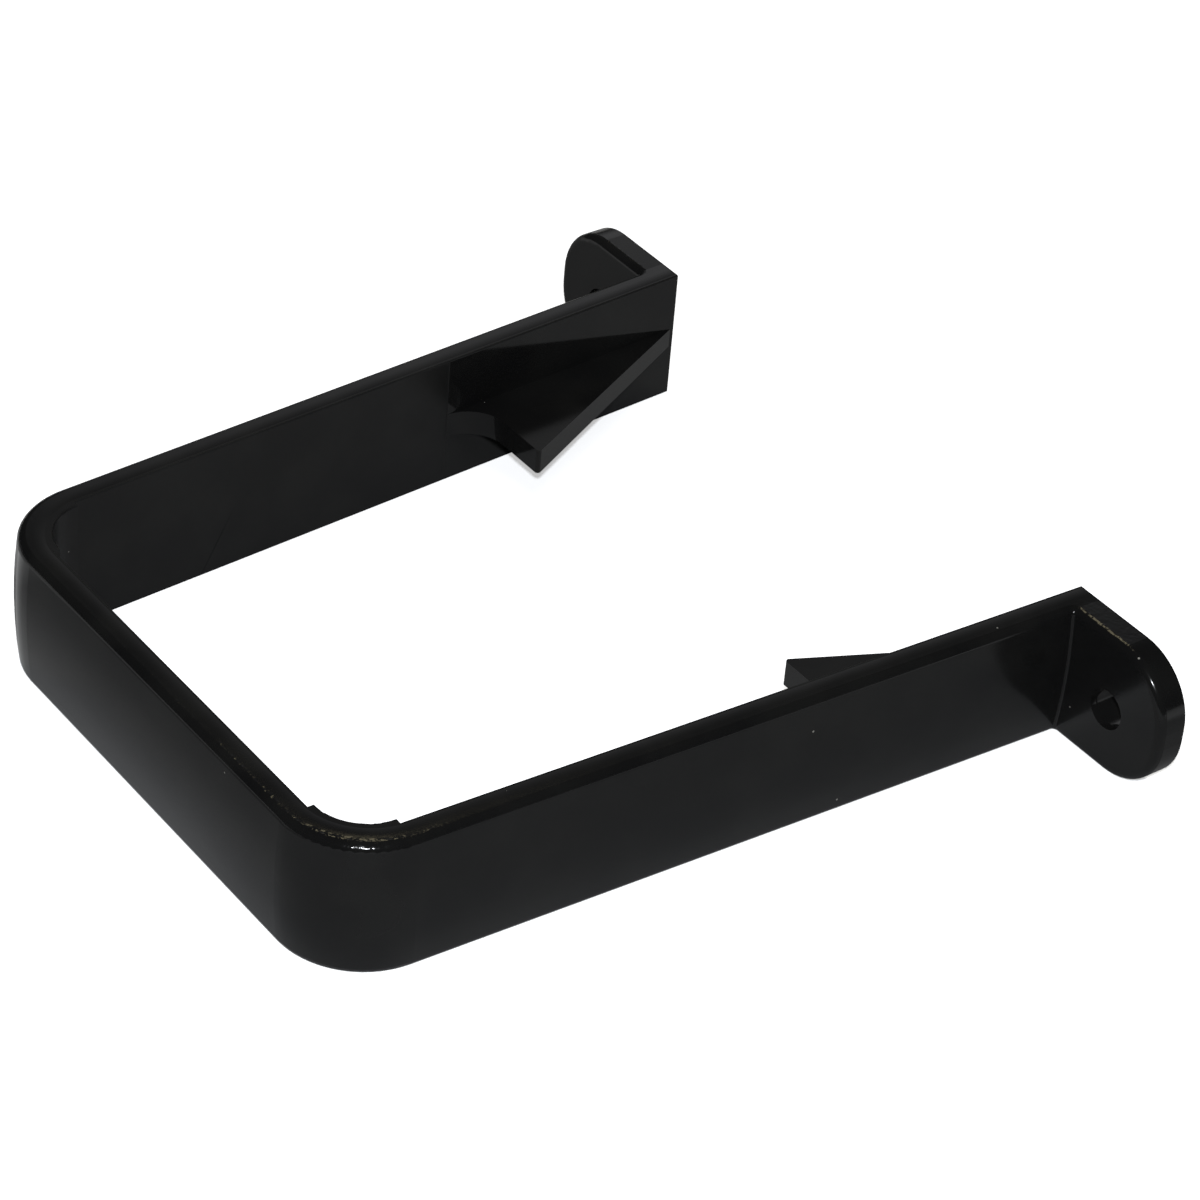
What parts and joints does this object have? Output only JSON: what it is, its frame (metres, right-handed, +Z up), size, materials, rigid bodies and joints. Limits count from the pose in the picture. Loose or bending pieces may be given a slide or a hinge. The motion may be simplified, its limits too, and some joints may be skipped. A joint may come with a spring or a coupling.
{
  "type": "downpipe clip",
  "caption": "Square U-shaped downpipe clip: a crowned moulded strap with padded corners, barbed catches that hold the pipe off the wall, and rounded ears with screw holes.",
  "frame": {"origin": "on the wall plane, midway between the screw holes", "axes": "+X along the wall from ear to ear, +Y into the wall, +Z up the pipe; the front bar lies at -Y"},
  "size_m": [0.115, 0.1004, 0.0175],
  "materials": {
    "black_pvc": "black rigid PVC, injection moulded, glossy with faint scuffs and dust"
  },
  "bodies": {
    "root": {"downpipe_clip": "black_pvc"}
  },
  "joints": []
}
